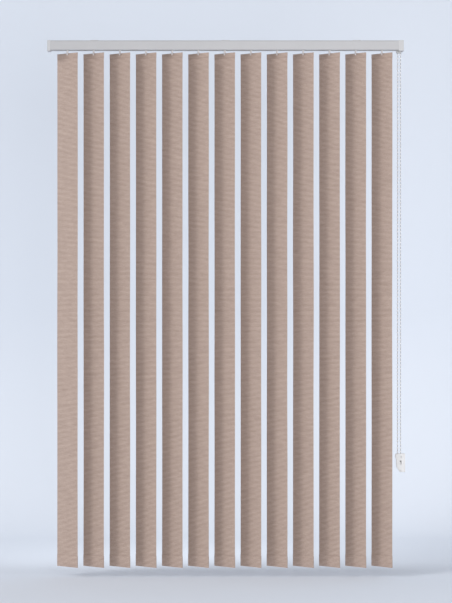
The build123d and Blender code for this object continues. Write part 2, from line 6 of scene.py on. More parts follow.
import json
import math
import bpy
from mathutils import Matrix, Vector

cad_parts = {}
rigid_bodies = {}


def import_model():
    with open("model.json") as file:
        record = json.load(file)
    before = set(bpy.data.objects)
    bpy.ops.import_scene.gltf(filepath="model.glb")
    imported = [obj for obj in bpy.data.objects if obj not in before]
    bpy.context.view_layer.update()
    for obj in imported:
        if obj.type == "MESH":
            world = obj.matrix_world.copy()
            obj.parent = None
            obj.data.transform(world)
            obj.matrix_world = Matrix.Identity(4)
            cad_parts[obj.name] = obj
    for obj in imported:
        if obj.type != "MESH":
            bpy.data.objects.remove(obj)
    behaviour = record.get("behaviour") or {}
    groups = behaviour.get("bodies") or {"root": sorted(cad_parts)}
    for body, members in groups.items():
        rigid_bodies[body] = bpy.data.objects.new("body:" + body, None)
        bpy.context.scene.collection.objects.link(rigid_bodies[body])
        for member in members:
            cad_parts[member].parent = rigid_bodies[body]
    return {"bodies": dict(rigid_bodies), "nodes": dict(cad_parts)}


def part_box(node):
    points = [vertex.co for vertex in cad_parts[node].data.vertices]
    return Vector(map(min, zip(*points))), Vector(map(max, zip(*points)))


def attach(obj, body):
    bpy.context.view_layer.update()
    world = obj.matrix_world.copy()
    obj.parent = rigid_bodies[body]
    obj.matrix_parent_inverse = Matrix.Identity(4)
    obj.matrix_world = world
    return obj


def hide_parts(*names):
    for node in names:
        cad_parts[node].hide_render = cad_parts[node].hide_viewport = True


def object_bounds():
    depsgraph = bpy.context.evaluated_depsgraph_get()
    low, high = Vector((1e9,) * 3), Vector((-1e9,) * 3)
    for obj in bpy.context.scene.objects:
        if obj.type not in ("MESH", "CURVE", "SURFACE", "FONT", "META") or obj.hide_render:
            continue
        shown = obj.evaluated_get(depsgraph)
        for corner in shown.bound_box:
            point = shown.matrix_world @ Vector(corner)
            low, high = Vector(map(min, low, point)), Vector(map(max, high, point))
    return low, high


bl_info = {
    "name": "Vertical blind",
    "version": (1, 0, 0),
    "blender": (4, 5, 0),
    "location": "3D View > Sidebar > Blind",
    "description": "Cloth louvres, bead chain, finishes and a plain stage for a vertical blind",
    "category": "Add Mesh",
}

import bmesh
import bpy
from bpy.props import FloatProperty, FloatVectorProperty, IntProperty, PointerProperty
from bpy.types import Operator, Panel, PropertyGroup
from mathutils import Matrix, Vector, noise

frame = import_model()
cad_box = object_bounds()

MM = 0.001


# ---------------------------------------------------------------------------
# Settings
# ---------------------------------------------------------------------------


class LouvreSettings(PropertyGroup):
    """Sizes of one louvre's cloth and of its two pockets."""

    cloth: FloatProperty(
        name="Cloth", description="Thickness of the cloth", default=0.4 * MM, unit="LENGTH", precision=5
    )
    head_pocket: FloatProperty(
        name="Head pocket", description="Height of the top pocket", default=16 * MM, unit="LENGTH"
    )
    hem: FloatProperty(name="Hem", description="Height of the bottom pocket", default=37 * MM, unit="LENGTH")
    hanger: FloatProperty(
        name="Hanger", description="Thickness of the top stiffener",
        default=0.5 * MM, unit="LENGTH", precision=5
    )
    weight: FloatProperty(
        name="Weight", description="Thickness of the bottom weight",
        default=1.0 * MM, unit="LENGTH", precision=5
    )
    clearance: FloatProperty(
        name="Clearance", description="Room each side of an insert",
        default=0.05 * MM, unit="LENGTH", precision=5
    )
    eye_width: FloatProperty(
        name="Eye width", description="Width of the hook's opening",
        default=5 * MM, unit="LENGTH", precision=4
    )
    eye_height: FloatProperty(
        name="Eye height", description="Height of the hook's opening",
        default=3 * MM, unit="LENGTH", precision=4
    )
    eye_drop: FloatProperty(
        name="Eye drop", description="From the fold to the eye", default=2.2 * MM, unit="LENGTH", precision=4
    )
    wave: FloatProperty(
        name="Wave", description="How far the hung cloth wavers", default=1.0 * MM, unit="LENGTH", precision=4
    )
    rows: IntProperty(name="Rows", description="Rows of faces between the pockets", default=76, min=8)


class ClothSettings(PropertyGroup):
    """Colours and yarn sizes of the ribbed cloth."""

    light: FloatVectorProperty(
        name="Light yarn", description="Colour of the crown of a rib",
        subtype="COLOR", default=(0.60, 0.467, 0.40)
    )
    dark: FloatVectorProperty(
        name="Dark yarn", description="Colour between the ribs", subtype="COLOR", default=(0.23, 0.164, 0.13)
    )
    rib: FloatProperty(
        name="Rib", description="From one rib to the next", default=3.77 * MM, unit="LENGTH", precision=5
    )
    yarn: FloatProperty(
        name="Yarn", description="From one warp yarn to the next",
        default=0.9 * MM, unit="LENGTH", precision=4
    )


class ChainSettings(PropertyGroup):
    """Sizes of the bead chain."""

    bead: FloatProperty(
        name="Bead", description="Diameter of a bead", default=4.8 * MM, unit="LENGTH", precision=4
    )
    pitch: FloatProperty(
        name="Pitch", description="From one bead to the next", default=11 * MM, unit="LENGTH", precision=4
    )
    cord: FloatProperty(
        name="Cord", description="Diameter of the cord", default=1.5 * MM, unit="LENGTH", precision=4
    )


class WormSettings(PropertyGroup):
    """Sizes of the thread on each carrier's worm."""

    radius: FloatProperty(
        name="Radius", description="Radius of the worm's barrel", default=3.9 * MM, unit="LENGTH", precision=5
    )
    ridge: FloatProperty(
        name="Ridge", description="Height of the thread", default=0.15 * MM, unit="LENGTH", precision=5
    )
    lead: FloatProperty(
        name="Lead", description="Travel of the thread in one turn",
        default=2.3 * MM, unit="LENGTH", precision=4
    )
    length: FloatProperty(
        name="Length", description="Length of the threaded barrel",
        default=10.4 * MM, unit="LENGTH", precision=4
    )
    offset: FloatProperty(
        name="Offset", description="From the louvre's axis back to the rod",
        default=9 * MM, unit="LENGTH", precision=4
    )
    drop: FloatProperty(
        name="Drop", description="From the ceiling down to the rod",
        default=16.5 * MM, unit="LENGTH", precision=4
    )


class FinishSettings(PropertyGroup):
    """Colours of the coat, plastics and metals; the rail's coat, the caps and the chain's cord are darkened
    with painted shade.
    """

    # Painted shade: a white powder coat set to a mid grey, the tone the rail has in the shade of a window
    # recess.
    paint: FloatVectorProperty(
        name="Paint", description="Powder coat on the rail", subtype="COLOR", default=(0.41, 0.405, 0.41)
    )
    # Painted shade: white caps set to a light grey, the tone they have in the shade of a window recess.
    cap_with_shade: FloatVectorProperty(
        name="Caps", description="Moulded caps of the rail", subtype="COLOR", default=(0.46, 0.455, 0.458)
    )
    tidy: FloatVectorProperty(
        name="Tidy", description="Whiter plastic of the chain tidy",
        subtype="COLOR", default=(0.62, 0.615, 0.61)
    )
    hook: FloatVectorProperty(
        name="Hooks", description="Milky plastic of the hooks", subtype="COLOR", default=(0.72, 0.68, 0.665)
    )
    carrier: FloatVectorProperty(
        name="Carriers", description="Natural plastic of the carriers",
        subtype="COLOR", default=(0.70, 0.69, 0.66)
    )
    bead: FloatVectorProperty(
        name="Beads", description="White beads of the chain", subtype="COLOR", default=(0.80, 0.79, 0.79)
    )
    # Painted shade: the white cord is set dark grey so the gaps between the beads read as dark as the shaded
    # wall behind them.
    cord: FloatVectorProperty(
        name="Cord", description="Cord between the beads", subtype="COLOR", default=(0.36, 0.35, 0.35)
    )
    metal: FloatVectorProperty(
        name="Metal", description="Bare metal", subtype="COLOR", default=(0.62, 0.62, 0.63)
    )


class StageSettings(PropertyGroup):
    """Camera, lights and backdrop."""

    distance: FloatProperty(
        name="Distance", description="From the camera to the blind", default=7.5, unit="LENGTH"
    )
    view_height: FloatProperty(
        name="View height", description="Height seen at the blind", default=1.841, unit="LENGTH"
    )
    eye_level: FloatProperty(
        name="Eye level", description="Height of the camera", default=-0.7964, unit="LENGTH"
    )
    key: FloatProperty(name="Key", description="Strength of the light from the left", default=0.88)
    softness: FloatProperty(
        name="Softness", description="Width of the light from the left, as an angle",
        default=0.38, unit="ROTATION"
    )
    fill: FloatProperty(name="Fill", description="Power of the light from the room", default=135.0)
    wash: FloatProperty(name="Wash", description="Power of the light on the wall behind", default=5.0)
    ambient: FloatVectorProperty(
        name="Ambient", description="Light from all round", subtype="COLOR", default=(0.76, 0.765, 0.785)
    )
    backdrop: FloatVectorProperty(
        name="Backdrop", description="Colour of the floor and wall",
        subtype="COLOR", default=(0.65, 0.69, 0.755)
    )


# ---------------------------------------------------------------------------
# Mesh and node helpers
# ---------------------------------------------------------------------------


def object_from(bm, name):
    """Makes a finished object at the origin from a bmesh, and frees the bmesh."""
    mesh = bpy.data.meshes.new(name)
    bm.to_mesh(mesh)
    bm.free()
    piece = bpy.data.objects.new(name, mesh)
    bpy.context.scene.collection.objects.link(piece)
    return piece


def add_node(tree, kind, inputs=(), **settings):
    """Adds a shader node, with its settings, and fills its inputs with values or links."""
    node = tree.nodes.new(kind)
    for name, value in settings.items():
        setattr(node, name, value)
    for socket, value in dict(inputs).items():
        if isinstance(value, bpy.types.NodeSocket):
            tree.links.new(value, node.inputs[socket])
        else:
            node.inputs[socket].default_value = value
    return node


def maths(tree, operation, first, second=0.0):
    """One Math node's result."""
    return add_node(tree, "ShaderNodeMath", {0: first, 1: second}, operation=operation).outputs[0]


def stretched(tree, vector, scale):
    """A vector times a scale on each axis."""
    node = add_node(tree, "ShaderNodeVectorMath", {0: vector, 1: scale}, operation="MULTIPLY")
    return node.outputs[0]


def noise_value(tree, vector, scale, detail=2.0, roughness=0.5, distortion=0.0):
    """A noise texture's value, about 0.5 on average."""
    inputs = {"Vector": vector, "Scale": scale, "Detail": detail}
    inputs.update({"Roughness": roughness, "Distortion": distortion})
    return add_node(tree, "ShaderNodeTexNoise", inputs).outputs["Fac"]


def ranged(tree, value, low, high, to_low=0.0, to_high=1.0):
    """A value moved from one range to another, and held inside it."""
    inputs = {"Value": value, "From Min": low, "From Max": high, "To Min": to_low, "To Max": to_high}
    return add_node(tree, "ShaderNodeMapRange", inputs).outputs[0]


def mixed(tree, factor, first, second):
    """A mix of two colours."""
    inputs = {0: factor, 6: first, 7: second}
    return add_node(tree, "ShaderNodeMix", inputs, data_type="RGBA").outputs[2]


def shade(colour, amount):
    """A colour made lighter or darker, with full alpha."""
    return (*[min(1.0, channel * amount) for channel in colour], 1.0)


def new_group(name, inputs, outputs):
    """An empty node group with number or vector inputs. Returns it, its input node and output node."""
    group = bpy.data.node_groups.new(name, "ShaderNodeTree")
    for socket, (kind, value) in inputs.items():
        made = group.interface.new_socket(socket, in_out="INPUT", socket_type=kind)
        if value is not None:
            made.default_value = value
    for socket in outputs:
        group.interface.new_socket(socket, in_out="OUTPUT", socket_type="NodeSocketFloat")
    return group, group.nodes.new("NodeGroupInput"), group.nodes.new("NodeGroupOutput")


def new_material(name):
    """A material with one Principled shader. Returns it, its tree and the shader."""
    material = bpy.data.materials.new(name)
    material.use_nodes = True
    tree = material.node_tree
    return material, tree, tree.nodes["Principled BSDF"]


def object_place(tree):
    """Object coordinates, in metres from the blind's origin."""
    return add_node(tree, "ShaderNodeTexCoord").outputs["Object"]


def raise_surface(tree, shader, height, distance, strength=1.0):
    """Feeds a height to the shader's normal, as deep as distance."""
    inputs = {"Height": height, "Distance": distance, "Strength": strength}
    bump = add_node(tree, "ShaderNodeBump", inputs)
    tree.links.new(bump.outputs["Normal"], shader.inputs["Normal"])


# ---------------------------------------------------------------------------
# Shared effects
# ---------------------------------------------------------------------------


def grain_group():
    """Fine grain of a moulded, coated or blasted surface, with broad clouds in its tone."""
    name = "Surface grain"
    if name in bpy.data.node_groups:
        return bpy.data.node_groups[name]
    sockets = {
        "Place": ("NodeSocketVector", None),
        "Grain": ("NodeSocketFloat", 1500.0),
        "Clouds": ("NodeSocketFloat", 12.0),
    }
    group, given, result = new_group(name, sockets, ("Height", "Tone", "Fleck"))
    place = given.outputs["Place"]
    fine = noise_value(group, place, given.outputs["Grain"], detail=3.0)
    coarse = noise_value(group, place, maths(group, "MULTIPLY", given.outputs["Grain"], 0.22), detail=2.0)
    clouds = noise_value(group, place, given.outputs["Clouds"], detail=4.0, roughness=0.6)
    height = maths(group, "ADD", maths(group, "MULTIPLY", fine, 0.65), maths(group, "MULTIPLY", coarse, 0.35))
    group.links.new(height, result.inputs["Height"])
    group.links.new(ranged(group, clouds, 0.3, 0.7), result.inputs["Tone"])
    group.links.new(ranged(group, fine, 0.62, 0.75), result.inputs["Fleck"])
    return group


def brushed_group():
    """Long fine lines along one axis, as a drawn or turned metal has."""
    name = "Drawn lines"
    if name in bpy.data.node_groups:
        return bpy.data.node_groups[name]
    sockets = {"Place": ("NodeSocketVector", None), "Stretch": ("NodeSocketVector", (30.0, 3000.0, 3000.0))}
    group, given, result = new_group(name, sockets, ("Height", "Tone"))
    scaled = stretched(group, given.outputs["Place"], given.outputs["Stretch"])
    lines = noise_value(group, scaled, 1.0, detail=4.0, roughness=0.7)
    group.links.new(lines, result.inputs["Height"])
    group.links.new(ranged(group, lines, 0.35, 0.65), result.inputs["Tone"])
    return group


def weave_group():
    """Ribbed cloth: weft ribs across the louvre, warp yarns over them, slubs and flecks."""
    name = "Ribbed weave"
    if name in bpy.data.node_groups:
        return bpy.data.node_groups[name]
    sockets = {
        "Place": ("NodeSocketVector", None),
        "Rib": ("NodeSocketFloat", 3.77 * MM),
        "Yarn": ("NodeSocketFloat", 0.9 * MM),
    }
    group, given, result = new_group(name, sockets, ("Height", "Crown", "Slub", "Fleck"))
    place = given.outputs["Place"]
    split = add_node(group, "ShaderNodeSeparateXYZ", {0: place})
    across, along = split.outputs["X"], split.outputs["Y"]

    drift = maths(group, "MULTIPLY", noise_value(group, stretched(group, place, (9.0, 8.0, 1.0)), 1.0), 0.4)
    lines = maths(group, "ADD", maths(group, "DIVIDE", along, given.outputs["Rib"]), drift)
    crown = ranged(group, maths(group, "SINE", maths(group, "MULTIPLY", lines, math.tau)), -1.0, 1.0)
    step = maths(group, "MULTIPLY", maths(group, "FLOOR", lines), 0.5)
    warp = maths(group, "ADD", maths(group, "DIVIDE", across, given.outputs["Yarn"]), step)
    over = maths(group, "ABSOLUTE", maths(group, "SINE", maths(group, "MULTIPLY", warp, math.pi)))

    thread = noise_value(group, stretched(group, place, (45.0, 420.0, 1.0)), 1.0, detail=3.0, roughness=0.6)
    band = noise_value(group, stretched(group, place, (24.0, 105.0, 1.0)), 1.0, detail=2.0, distortion=0.6)
    mottle = noise_value(group, stretched(group, place, (210.0, 330.0, 1.0)), 1.0, detail=2.0)
    fleck = noise_value(group, stretched(group, place, (150.0, 600.0, 1.0)), 1.0, detail=2.0)

    streaks = maths(group, "ADD", maths(group, "MULTIPLY", thread, 0.3), maths(group, "MULTIPLY", band, 0.35))
    slub = maths(group, "ADD", streaks, maths(group, "MULTIPLY", mottle, 0.35))
    ribs = maths(group, "MULTIPLY", crown, maths(group, "ADD", 0.55, maths(group, "MULTIPLY", over, 0.45)))
    height = maths(group, "ADD", maths(group, "MULTIPLY", ribs, 0.7), maths(group, "MULTIPLY", slub, 0.6))
    group.links.new(height, result.inputs["Height"])
    group.links.new(crown, result.inputs["Crown"])
    group.links.new(ranged(group, slub, 0.38, 0.62), result.inputs["Slub"])
    group.links.new(ranged(group, fleck, 0.60, 0.72), result.inputs["Fleck"])
    return group


# ---------------------------------------------------------------------------
# Finishes
# ---------------------------------------------------------------------------

# From one dash of a pocket's welded line to the next.
DASH_PITCH = 3.2 * MM


def plastic(name, colour, grain, roughness, depth):
    """Moulded plastic or powder coat: fine grain, clouded tone and a slightly uneven gloss."""
    material, tree, shader = new_material(name)
    inputs = {"Place": object_place(tree), "Grain": grain, "Clouds": 9.0}
    effect = add_node(tree, "ShaderNodeGroup", inputs, node_tree=grain_group())
    tone = mixed(tree, effect.outputs["Tone"], shade(colour, 0.955), shade(colour, 1.03))
    speck = mixed(tree, maths(tree, "MULTIPLY", effect.outputs["Fleck"], 0.25), tone, shade(colour, 0.86))
    tree.links.new(speck, shader.inputs["Base Color"])
    gloss = ranged(tree, effect.outputs["Tone"], 0.0, 1.0, roughness - 0.05, roughness + 0.06)
    tree.links.new(gloss, shader.inputs["Roughness"])
    raise_surface(tree, shader, effect.outputs["Height"], depth)
    shader.inputs["IOR"].default_value = 1.48
    return material


def bare_metal(name, colour, stretch, roughness, depth):
    """Drawn or turned metal, with fine lines along one axis."""
    material, tree, shader = new_material(name)
    effect = add_node(tree, "ShaderNodeGroup", node_tree=brushed_group())
    tree.links.new(object_place(tree), effect.inputs["Place"])
    effect.inputs["Stretch"].default_value = stretch
    tone = mixed(tree, effect.outputs["Tone"], shade(colour, 0.85), shade(colour, 1.06))
    tree.links.new(tone, shader.inputs["Base Color"])
    gloss = ranged(tree, effect.outputs["Tone"], 0.0, 1.0, roughness + 0.08, roughness - 0.04)
    tree.links.new(gloss, shader.inputs["Roughness"])
    raise_surface(tree, shader, effect.outputs["Height"], depth)
    shader.inputs["Metallic"].default_value = 1.0
    return material


def rail_paint_with_shade(colours):
    """Satin powder coat on the extruded rail; its colour is a white coat darkened to grey as painted shade
    from a window recess.
    """
    return plastic("Rail powder coat with painted shade", colours.paint, 900.0, 0.42, 0.03 * MM)


def cap_plastic_with_shade(colours):
    """Moulded plastic of the caps and the chain guide, white darkened to grey as painted shade from a window
    recess.
    """
    return plastic("Cap plastic with painted shade", colours.cap_with_shade, 2200.0, 0.4, 0.02 * MM)


def tidy_plastic(colours):
    """Whiter and glossier plastic of the chain tidy."""
    return plastic("Tidy plastic", colours.tidy, 2200.0, 0.3, 0.015 * MM)


def hook_plastic(colours):
    """Milky plastic of the hooks."""
    material = plastic("Hook plastic", colours.hook, 2600.0, 0.36, 0.012 * MM)
    shader = material.node_tree.nodes["Principled BSDF"]
    shader.inputs["Subsurface Weight"].default_value = 0.15
    shader.inputs["Subsurface Radius"].default_value = (1.2 * MM, 1.1 * MM, 1.0 * MM)
    return material


def carrier_plastic(colours):
    """Natural plastic of the carriers in the track."""
    return plastic("Carrier plastic", colours.carrier, 1800.0, 0.44, 0.02 * MM)


def gear_plastic(colours):
    """Hard natural plastic of the bead wheel and gears."""
    return plastic("Gear plastic", [channel * 0.9 for channel in colours.carrier], 2400.0, 0.38, 0.015 * MM)


def chain_plastic(colours):
    """Glossy white plastic of the beads."""
    return plastic("Bead plastic", colours.bead, 1200.0, 0.28, 0.01 * MM)


def cord_fibre_with_shade(colours):
    """Twisted fibre of the cord between the beads, set dark grey as painted shade: the shaded wall seen past
    the thin cord.
    """
    return plastic("Chain cord with painted shade", colours.cord, 3000.0, 0.7, 0.03 * MM)


def rod_metal(colours):
    """Drawn aluminium of the tilt rod."""
    return bare_metal("Rod aluminium", colours.metal, (25.0, 2600.0, 2600.0), 0.32, 0.01 * MM)


def pin_steel(colours):
    """Bright turned steel of the pins."""
    return bare_metal("Pin steel", colours.metal, (2400.0, 60.0, 2400.0), 0.24, 0.008 * MM)


def bracket_steel(colours):
    """Enamel on the spring steel brackets, in the rail's colour: white darkened to grey as painted shade."""
    return plastic("Bracket enamel with painted shade", colours.paint, 1300.0, 0.3, 0.015 * MM)


def louvre_cloth(cloth):
    """Ribbed cloth that follows each louvre's own map, with a welded line at each pocket."""
    material, tree, shader = new_material("Louvre cloth")
    place = add_node(tree, "ShaderNodeUVMap", uv_map="cloth").outputs["UV"]
    effect = add_node(tree, "ShaderNodeGroup", node_tree=weave_group())
    tree.links.new(place, effect.inputs["Place"])
    effect.inputs["Rib"].default_value = cloth.rib
    effect.inputs["Yarn"].default_value = cloth.yarn

    crown = maths(tree, "MULTIPLY", effect.outputs["Crown"], 0.76)
    blend = maths(tree, "ADD", crown, maths(tree, "MULTIPLY", effect.outputs["Slub"], 0.24))
    base = mixed(tree, blend, shade(cloth.dark, 1.0), shade(cloth.light, 1.0))
    fleck = maths(tree, "MULTIPLY", effect.outputs["Fleck"], 0.35)
    flecked = mixed(tree, fleck, base, shade(cloth.dark, 0.8))
    weld = add_node(tree, "ShaderNodeAttribute", attribute_name="weld").outputs["Fac"]
    across = add_node(tree, "ShaderNodeSeparateXYZ", {0: place}).outputs["X"]
    dash = maths(tree, "SINE", maths(tree, "MULTIPLY", across, math.tau / DASH_PITCH))
    pressed = maths(tree, "MULTIPLY", weld, ranged(tree, dash, -0.2, 0.3))
    colour = mixed(tree, maths(tree, "MULTIPLY", pressed, 0.45), flecked, shade(cloth.dark, 0.92))
    tree.links.new(colour, shader.inputs["Base Color"])

    rough = ranged(tree, effect.outputs["Slub"], 0.0, 1.0, 0.95, 0.84)
    tree.links.new(rough, shader.inputs["Roughness"])
    height = maths(tree, "SUBTRACT", effect.outputs["Height"], maths(tree, "MULTIPLY", pressed, 0.8))
    raise_surface(tree, shader, height, 0.22 * MM)
    shader.inputs["Sheen Weight"].default_value = 0.12
    shader.inputs["Sheen Roughness"].default_value = 0.5
    shader.inputs["Specular IOR Level"].default_value = 0.3
    return material


# ---------------------------------------------------------------------------
# Louvres
# ---------------------------------------------------------------------------

# The cloth's bend at the corners of a pocket.
FOLD_RADIUS = 0.3 * MM
# How far a pocket's raw edge lies past its closing slope and past the middle of its seam.
CLOSING_SETBACK = 3.2 * MM
SEAM_SETBACK = 1.4 * MM
# Half the height of the pressed seam.
SEAM_HALF = 0.5 * MM
# How far the single cloth runs level past a pocket's raw edge.
POCKET_LEAD = 1.5 * MM
# The band of faces along each cut edge of a louvre.
EDGE_BAND = 0.6 * MM


def nodes_named(prefix):
    """The CAD nodes of one family, in order."""
    return sorted(name for name in frame["nodes"] if name.startswith(prefix))


def louvre_place(node, thickness):
    """A louvre's width, length and the matrix from its own frame to the blind's.

    In its own frame the louvre hangs down from the origin, its width lies along X and -Y is its
    front. The edge towards the control end stands nearer the room.
    """
    low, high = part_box(node)
    size = high - low
    diagonal = math.hypot(size.x, size.y)
    turn = math.atan2(size.y, size.x)
    turn -= thickness * math.cos(2 * turn) / diagonal
    width = (size.x - thickness * math.sin(turn)) / math.cos(turn)
    middle = (low + high) / 2
    place = Matrix.Translation((middle.x, middle.y, high.z)) @ Matrix.Rotation(-turn, 4, "Z")
    return width, size.z, place


def pocket_layer(sizes, insert, height, stops):
    """One layer of a pocket, from the middle of its fold to the start of its seam, as (depth, drop)."""
    layer = insert / 2 + sizes.clearance + sizes.cloth / 2
    radius = FOLD_RADIUS
    points = [(0.0, sizes.cloth / 2)]
    for part in range(5):
        turn = math.radians(90 * part / 4)
        points.append(
            (layer - radius + radius * math.sin(turn), sizes.cloth / 2 + radius - radius * math.cos(turn))
        )
    closing = height - CLOSING_SETBACK
    levels = [*stops, *(closing * share for share in (0.5, 0.7, 0.85, 1.0))]
    points.extend((layer, level) for level in levels)
    return points


def pocket_run(sizes, insert, height, stops=()):
    """A whole pocket as (depth, drop, weld): up its back from the raw edge, over the fold, down its front."""
    layer = pocket_layer(sizes, insert, height, stops)
    pinch = sizes.cloth / 2 + 0.01 * MM
    seam = height - SEAM_SETBACK
    above, below = seam - SEAM_HALF, seam + SEAM_HALF
    back = [(depth, drop, 0.0) for depth, drop in layer]
    back += [(pinch, above, 1.0), (pinch, below, 1.0), (sizes.cloth + 0.03 * MM, height, 0.0)]
    front = [(-depth, drop, 0.0) for depth, drop in layer[1:]]
    front += [(-pinch, above, 1.0), (-pinch, below, 1.0), (0.0, height + POCKET_LEAD, 0.0)]
    return back[::-1] + front


def folded_run(sizes, length):
    """The cloth's whole run as (depth, height, weld), from the head pocket's raw edge to the hem's."""
    stops = (sizes.eye_drop, sizes.eye_drop + sizes.eye_height)
    head_run = pocket_run(sizes, sizes.hanger, sizes.head_pocket, stops)
    hem_run = pocket_run(sizes, sizes.weight, sizes.hem)
    head = [(depth, -drop, weld) for depth, drop, weld in head_run]
    hem = [(depth, drop - length, weld) for depth, drop, weld in hem_run]
    hem.reverse()
    start, end = head[-1][1], hem[0][1]
    sheet = [(0.0, start + (end - start) * row / sizes.rows, 0.0) for row in range(1, sizes.rows)]
    return head + sheet + hem


def columns_across(width, sizes):
    """Places of the columns across a louvre: close to each cut edge, and at each side of the eye."""
    half = width / 2
    inner = [sizes.eye_width / 2, 0.14 * width, 0.27 * width, 0.40 * width, half - EDGE_BAND, half]
    return [-place for place in reversed(inner)] + inner


def waver(number, across, height, length, amount):
    """How far the cloth stands off its plane: nothing at the pockets, most half way down."""
    down = min(1.0, max(0.0, -height / length))
    free = math.sin(math.pi * down) ** 0.7 if 0.0 < down < 1.0 else 0.0
    soft = noise.noise(Vector((number * 7.31, across * 9.0, height * 3.1)))
    bow = noise.noise(Vector((number * 3.77, 0.5, height * 1.3))) * (1.0 - (across / 0.045) ** 2)
    return amount * free * (1.1 * soft + 0.9 * bow)


def weave_louvre(number, node, sizes, material):
    """One louvre: a row of edges drawn along the folded run, then mapped, pierced and thickened."""
    width, length, place = louvre_place(node, sizes.weight + 2 * (sizes.clearance + sizes.cloth))
    run = folded_run(sizes, length)
    bm = bmesh.new()
    weld = bm.verts.layers.float.new("weld")
    drawn = bm.verts.layers.float.new("drawn")
    uv = bm.loops.layers.uv.new("cloth")

    depth, height, pressed = run[0]
    row = [bm.verts.new((across, depth, height)) for across in columns_across(width, sizes)]
    for vert in row:
        vert[weld] = pressed
    edges = [bm.edges.new(pair) for pair in zip(row, row[1:])]
    travelled = 0.0
    for before, after in zip(run, run[1:]):
        step = Vector((0.0, after[0] - before[0], after[1] - before[1]))
        travelled += step.length
        grown = bmesh.ops.extrude_edge_only(bm, edges=edges)["geom"]
        verts = [item for item in grown if isinstance(item, bmesh.types.BMVert)]
        edges = [item for item in grown if isinstance(item, bmesh.types.BMEdge)]
        bmesh.ops.translate(bm, verts=verts, vec=step)
        for vert in verts:
            vert[weld] = after[2]
            vert[drawn] = travelled

    eye_top = -sizes.eye_drop
    eye = [
        face
        for face in bm.faces
        if abs(face.calc_center_median().x) < sizes.eye_width / 2
        and eye_top - sizes.eye_height < face.calc_center_median().z < eye_top
    ]
    if len(eye) != 2:
        raise RuntimeError(f"{node}: the eye takes {len(eye)} faces and not one in each layer")
    bmesh.ops.delete(bm, geom=eye, context="FACES")

    for face in bm.faces:
        face.smooth = True
        for loop in face.loops:
            loop[uv].uv = (loop.vert.co.x + width * (number + 0.5), loop.vert[drawn])
    for vert in bm.verts:
        vert.co.y += waver(number, vert.co.x, vert.co.z, length, sizes.wave)
    bmesh.ops.recalc_face_normals(bm, faces=bm.faces)
    bmesh.ops.transform(bm, matrix=place, verts=bm.verts)

    louvre = object_from(bm, f"cloth_{number:02d}")
    louvre.data.materials.append(material)
    thicken = louvre.modifiers.new("Cloth", "SOLIDIFY")
    thicken.thickness = sizes.cloth
    thicken.offset = 0.0
    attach(louvre, node)
    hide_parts(node)
    return louvre


class BLIND_OT_louvres(Operator):
    """Hang a length of ribbed cloth, folded into a pocket at each end, on every hook"""

    bl_idname = "blind.louvres"
    bl_label = "Louvres"

    def execute(self, context):
        sizes = context.scene.blind_louvre
        material = louvre_cloth(context.scene.blind_cloth)
        for number, node in enumerate(nodes_named("louvre_"), start=1):
            weave_louvre(number, node, sizes, material)
        return {"FINISHED"}


# ---------------------------------------------------------------------------
# Bead chain
# ---------------------------------------------------------------------------

# The loop's route as (x, z): over the bead wheel, down the outer strand and back up the inner one.
CHAIN_ROUTE = (
    (0.5303, -0.009497),
    (0.537003, -0.009497),
    (0.537003, -0.0225),
    (0.53395, -0.036),
    (0.533954, -0.0498),
    (0.534298, -1.2871),
    (0.5343, -1.2961),
    (0.5251, -1.2961),
    (0.525107, -1.2871),
    (0.526039, -0.0498),
    (0.52605, -0.036),
    (0.522997, -0.0225),
    (0.522997, -0.009497),
    (0.5297, -0.009497),
)


def chain_cord(chain):
    """The chain's cord, as one smooth open curve through the whole loop."""
    curve = bpy.data.curves.new("chain_cord", "CURVE")
    curve.dimensions = "3D"
    curve.bevel_depth = chain.cord / 2
    curve.bevel_resolution = 2
    curve.resolution_u = 8
    spline = curve.splines.new("NURBS")
    spline.points.add(len(CHAIN_ROUTE) - 1)
    for point, (x, z) in zip(spline.points, CHAIN_ROUTE):
        point.co = (x, 0.0, z, 1.0)
    spline.order_u = 3
    spline.use_endpoint_u = True
    cord = bpy.data.objects.new("chain_cord", curve)
    bpy.context.scene.collection.objects.link(cord)
    return cord


def points_of(cord):
    """The points of a curve's own line."""
    bare = bpy.data.objects.new("bare", cord.data.copy())
    bare.data.bevel_depth = 0.0
    line = bpy.data.meshes.new_from_object(bare)
    points = [vert.co.copy() for vert in line.vertices]
    bpy.data.meshes.remove(line)
    bpy.data.curves.remove(bare.data)
    return points


def spaced_along(points, pitch):
    """Places and directions of the beads along a line, and its length. The pitch is fitted to the length."""
    lengths = [(b - a).length for a, b in zip(points, points[1:])]
    total = sum(lengths)
    count = round(total / pitch)
    places = []
    travelled, segment = 0.0, 0
    for bead in range(count):
        wanted = (bead + 0.5) * total / count
        while travelled + lengths[segment] < wanted:
            travelled += lengths[segment]
            segment += 1
        start, end = points[segment], points[segment + 1]
        share = (wanted - travelled) / lengths[segment]
        places.append((start.lerp(end, share), (end - start).normalized()))
    return places, total


class BLIND_OT_chain(Operator):
    """String the looped bead chain from the control down through the tidy"""

    bl_idname = "blind.chain"
    bl_label = "Bead chain"

    def execute(self, context):
        chain = context.scene.blind_chain
        colours = context.scene.blind_finish
        cord = chain_cord(chain)
        places, length = spaced_along(points_of(cord), chain.pitch)
        bm = bmesh.new()
        for place, direction in places:
            turn = direction.to_track_quat("Z", "Y").to_matrix().to_4x4()
            bmesh.ops.create_uvsphere(
                bm,
                u_segments=8,
                v_segments=6,
                radius=chain.bead / 2,
                matrix=Matrix.Translation(place) @ turn,
            )
        for face in bm.faces:
            face.smooth = True
        beads = object_from(bm, "chain_beads")
        cord.data.materials.append(cord_fibre_with_shade(colours))
        beads.data.materials.append(chain_plastic(colours))
        for piece in (cord, beads):
            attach(piece, "rail")
        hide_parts("control_chain")
        return {"FINISHED"}


# ---------------------------------------------------------------------------
# Worm threads
# ---------------------------------------------------------------------------


